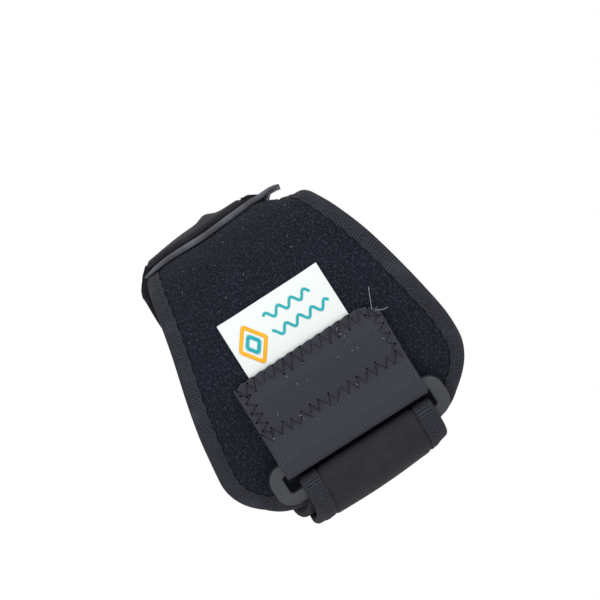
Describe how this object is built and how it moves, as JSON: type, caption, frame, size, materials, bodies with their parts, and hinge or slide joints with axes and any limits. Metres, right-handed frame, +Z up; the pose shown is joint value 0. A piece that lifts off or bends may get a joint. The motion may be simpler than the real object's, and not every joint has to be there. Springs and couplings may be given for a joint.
{
  "type": "tennis elbow strap",
  "caption": "Fan-shaped padded support with a soft strap that turns back through a plastic ring on ribbed elastic and closes into a loop with a hook tab.",
  "frame": {"origin": "centre of the loop's round hollow, halfway across the strap", "axes": "+X along the hollow towards its wider side, +Z up, and the sewn label faces -Y"},
  "size_m": [0.1035, 0.0925, 0.1213],
  "materials": {
    "loop_faced_foam": "brushed loop pile knitted on a foam laminate, matt",
    "binding_tape": "knitted binding tape, matt",
    "strap_jersey": "smooth warp-knit faced foam laminate, faint sheen",
    "ribbed_elastic": "woven ribbed elastic, matt",
    "moulded_plastic": "injection-moulded plastic, satin",
    "hook_plastic": "moulded hook sheet, satin",
    "woven_satin": "white woven satin label"
  },
  "bodies": {
    "root": {"support_pad": "loop_faced_foam", "pad_binding": "binding_tape", "wrap_strap": "strap_jersey", "strap_binding_narrow": "binding_tape", "strap_binding_wide": "binding_tape", "hook_tab": "hook_plastic", "elastic_loop": "ribbed_elastic", "sewn_label": "woven_satin", "strap_ring": "moulded_plastic"}
  },
  "joints": []
}
